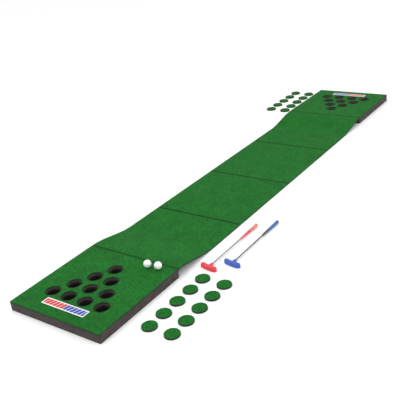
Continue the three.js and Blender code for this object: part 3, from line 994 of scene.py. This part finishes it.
def grip_tree():
    """A tapered tube along X whose wall carries evenly spaced rings, closed at both ends."""
    tree = bpy.data.node_groups.new("ringed_grip", "GeometryNodeTree")
    face = tree.interface
    face.new_socket("Start", in_out="INPUT", socket_type="NodeSocketGeometry")
    for name in ("Length", "Mouth radius", "Butt radius", "Ring pitch", "Ring depth"):
        face.new_socket(name, in_out="INPUT", socket_type="NodeSocketFloat")
    face.new_socket("Rubber", in_out="INPUT", socket_type="NodeSocketMaterial")
    face.new_socket("Grip", in_out="OUTPUT", socket_type="NodeSocketGeometry")
    given = add(tree, "NodeGroupInput").outputs

    line = add(tree, "GeometryNodeCurvePrimitiveLine", {
        "End": add(tree, "ShaderNodeCombineXYZ", {"X": given["Length"]}).outputs[0]})
    fine = add(tree, "GeometryNodeResampleCurve", {
        "Curve": line.outputs[0], "Count": GRIP_STATIONS})
    along = add(tree, "GeometryNodeSplineParameter").outputs["Factor"]
    taper = add(tree, "ShaderNodeMapRange", {
        "Value": along, "To Min": given["Mouth radius"], "To Max": given["Butt radius"]})
    distance = maths(tree, "MULTIPLY", along, given["Length"])
    phase = maths(tree, "DIVIDE", distance, given["Ring pitch"])
    wave = maths(tree, "SINE", maths(tree, "MULTIPLY", phase, 2 * math.pi))
    # rings leave a plain band at each end and round the middle
    plain = maths(tree, "COMPARE", along, 0.5, PLAIN_MIDDLE)
    from_middle = maths(tree, "ABSOLUTE", maths(tree, "SUBTRACT", along, 0.5))
    ends = maths(tree, "GREATER_THAN", from_middle, RINGED_HALF)
    keep = maths(tree, "SUBTRACT", 1.0, maths(tree, "MAXIMUM", plain, ends))
    groove = maths(tree, "MULTIPLY", maths(tree, "MAXIMUM", wave, 0.0), given["Ring depth"])
    groove = maths(tree, "MULTIPLY", groove, keep)
    radius = maths(tree, "SUBTRACT", taper.outputs[0], groove)
    sized = add(tree, "GeometryNodeSetCurveRadius", {"Curve": fine.outputs[0], "Radius": radius})
    round_ = add(tree, "GeometryNodeCurvePrimitiveCircle", {"Resolution": 40, "Radius": 1.0})
    tube = add(tree, "GeometryNodeCurveToMesh", {
        "Curve": sized.outputs[0], "Profile Curve": round_.outputs[0], "Fill Caps": True})
    tree.links.new(radius, tube.inputs["Scale"])
    real = add(tree, "GeometryNodeRealizeInstances", {"Geometry": tube.outputs[0]})
    painted = add(tree, "GeometryNodeSetMaterial", {
        "Geometry": real.outputs[0], "Material": given["Rubber"]})
    add(tree, "NodeGroupOutput", {0: painted.outputs[0]})
    return tree


def grip_rubber(colour, start, end):
    """Thermoplastic rubber: matt and a little rubbed, in three tones from shaft to butt."""
    tones = PUTTERS[colour]["grip"]
    material, tree, shader = new_finish(f"thermoplastic_rubber_{colour}", tones[1], 0.62, IOR=1.5)
    place = add(tree, "ShaderNodeSeparateXYZ", {
        0: add(tree, "ShaderNodeTexCoord").outputs["Object"]}).outputs["X"]
    along = add(tree, "ShaderNodeMapRange", {"Value": place, "From Min": start, "From Max": end})
    banded = colour_ramp(tree, along.outputs["Result"], (0.0, tones[0]), (0.24, tones[0]),
                         (0.34, tones[1]), (0.52, tones[1]), (0.64, tones[2]), (1.0, tones[2]))
    rubbed = add(tree, "ShaderNodeMapRange", {
        "Value": object_noise(tree, 26, 2), "To Min": 0.8, "To Max": 1.15})
    tree.links.new(times(tree, banded, rubbed.outputs["Result"]), shader.inputs["Base Color"])
    bumpy(tree, shader, object_noise(tree, 0.8, 2), 0.08)
    return material


def cap_rubber(colour):
    """Soft rubber, matt and finely grained, in a greyed tone of its putter's colour."""
    code = PUTTERS[colour]["end"]
    material, tree, shader = new_finish(f"cap_rubber_{colour}", code, 0.55, IOR=1.5)
    bumpy(tree, shader, object_noise(tree, 1.2, 2), 0.06)
    return material


grip_nodes = grip_tree()
for colour in PUTTERS:
    shaft_low, shaft_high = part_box(f"{colour}_putter_shaft")
    low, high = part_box(f"{colour}_putter_grip")
    centre = (low + high) / 2
    rubber = grip_rubber(colour, low.x, high.x)
    grip = new_piece(f"{colour}_ringed_grip", bpy.data.meshes.new("grip"), rubber)
    grow(grip, grip_nodes, Length=high.x - low.x, Rubber=rubber, **{
        "Mouth radius": (shaft_high.z - shaft_low.z) / 2 + MOUTH_WALL,
        "Butt radius": (high.z - low.z) / 2 - 0.05 * MM,
        "Ring pitch": RING_PITCH, "Ring depth": RING_DEPTH})
    tidy_mesh(grip.data, merge=1e-7, smooth_angle=50)
    grip.data.transform(Matrix.Translation((low.x, centre.y, centre.z)))
    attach(grip, f"{colour}_putter")
    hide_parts(f"{colour}_putter_grip")

    low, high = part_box(f"{colour}_putter_grip_cap")
    wide = (high.z - low.z) / 2
    outline = [(low.x, 0), (low.x, wide - 0.3 * MM), (low.x + 0.3 * MM, wide)]
    outline += [(high.x - (1 - math.sin(a)) * CAP_ROUNDING,
                 wide - (1 - math.cos(a)) * CAP_ROUNDING)
                for a in (0.0, 0.4, 0.8, 1.2, math.pi / 2)]
    outline += [(high.x, 3 * MM), (high.x - CAP_DIMPLE, 2.2 * MM), (high.x - CAP_DIMPLE, 0)]
    cap = turned_part(f"{colour}_end_cap", outline, centre)
    dress(cap, cap_rubber(colour))
    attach(cap, f"{colour}_putter")
    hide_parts(f"{colour}_putter_grip_cap")

# ---- Studio -------------------------------------------------------------------------------
# A pale seamless floor under two large soft lights and a bright surround.

FLOOR_HALF = 60  # metres, so that its edge is never seen
FLOOR_DROP = 0.5 * MM


def studio_floor():
    """Matt white paper, just below the mat."""
    material = new_finish("pale_floor", "fbfbfb", 0.9)[0]
    mesh = bpy.data.meshes.new("floor")
    mesh.from_pydata([(x * FLOOR_HALF, y * FLOOR_HALF, -FLOOR_DROP)
                      for x, y in ((-1, -1), (1, -1), (1, 1), (-1, 1))], [], [(0, 1, 2, 3)])
    new_piece("studio_floor", mesh, material)


def area_light(name, place, target, size, power):
    """A square light at place that faces target."""
    lamp = bpy.data.lights.new(name, "AREA")
    lamp.size = size
    lamp.energy = power
    holder = bpy.data.objects.new(name, lamp)
    bpy.context.scene.collection.objects.link(holder)
    holder.location = place
    aim = Vector(target) - Vector(place)
    holder.rotation_euler = aim.to_track_quat("-Z", "Y").to_euler()


studio_floor()
area_light("soft_key", (-2.0, 1.0, 5.0), (0, 0, 0), 3.5, 70)
area_light("soft_fill", (0.5, -4.5, 1.4), (0, 0, 0), 3.0, 45)

world = bpy.data.worlds.new("studio")
bpy.context.scene.world = world
world.use_nodes = True
surround = world.node_tree.nodes["Background"]
surround.inputs["Color"].default_value = linear("ffffff")
surround.inputs["Strength"].default_value = 1.02
bpy.context.scene.view_settings.view_transform = "Standard"

# The camera looks down along the mat from beyond the near board, rolled a little to its right.
CAMERA_PLACE = Vector((-3.388, -2.162, 1.778))
CAMERA_HEADING = math.radians(37.46)
CAMERA_TILT = math.radians(25.38)
CAMERA_ROLL = math.radians(-7.07)
forward = Vector((math.cos(CAMERA_TILT) * math.cos(CAMERA_HEADING),
                  math.cos(CAMERA_TILT) * math.sin(CAMERA_HEADING), -math.sin(CAMERA_TILT)))
right = forward.cross(Vector((0, 0, 1))).normalized()
upright = right.cross(forward)
level = math.cos(CAMERA_ROLL) * right + math.sin(CAMERA_ROLL) * upright
top = -math.sin(CAMERA_ROLL) * right + math.cos(CAMERA_ROLL) * upright
lens = bpy.data.cameras.new("camera")
lens.lens = 57.9
lens.clip_end = 120
camera = bpy.data.objects.new("camera", lens)
bpy.context.scene.collection.objects.link(camera)
turn = Matrix((level, top, -forward)).transposed().to_4x4()
camera.matrix_world = Matrix.Translation(CAMERA_PLACE) @ turn
bpy.context.scene.camera = camera
